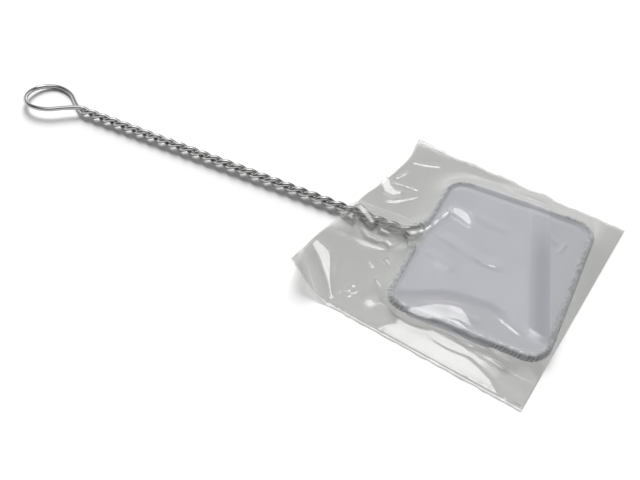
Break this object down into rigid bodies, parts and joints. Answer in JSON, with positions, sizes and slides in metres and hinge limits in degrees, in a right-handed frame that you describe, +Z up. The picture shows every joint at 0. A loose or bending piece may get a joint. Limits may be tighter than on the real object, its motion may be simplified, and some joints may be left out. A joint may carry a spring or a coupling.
{
  "type": "aquarium fish net",
  "caption": "Small aquarium fish net with a twisted wire handle, a hanging loop and a rounded hoop, its fine mesh pocket folded flat inside a clear film bag that pulls off.",
  "frame": {"origin": "on the surface that the bag lies on, straight under the centre of the hoop", "axes": "+X along the handle from the hanging loop to the hoop, +Y to the hoop's far side in the picture, +Z up"},
  "size_m": [0.293, 0.1192, 0.0077],
  "materials": {
    "plated_wire": "bright plated steel wire",
    "hem_cloth": "soft white binding",
    "net_mesh": "fine white mesh",
    "clear_film": "clear polythene film",
    "film_weld": "welded film seam"
  },
  "bodies": {
    "net": {"hanging_loop": "plated_wire", "near_strand": "plated_wire", "far_strand": "plated_wire", "far_neck_leg": "plated_wire", "near_neck_leg": "plated_wire", "hoop_wire": "plated_wire", "hem_sleeve": "hem_cloth", "net_lower_layer": "net_mesh", "net_upper_layer": "net_mesh", "net_fold_roll": "net_mesh"},
    "bag": {"bag_lower_film": "clear_film", "bag_upper_film": "clear_film", "bag_far_side": "clear_film", "bag_near_side": "clear_film", "bag_closed_end": "clear_film", "bag_far_weld": "film_weld", "bag_near_weld": "film_weld"}
  },
  "joints": [
    {"name": "bag_slide", "type": "slide", "parent": "net", "child": "bag", "axis": [0.9925, -0.1219, 0], "range_m": [0, 0.115]}
  ]
}
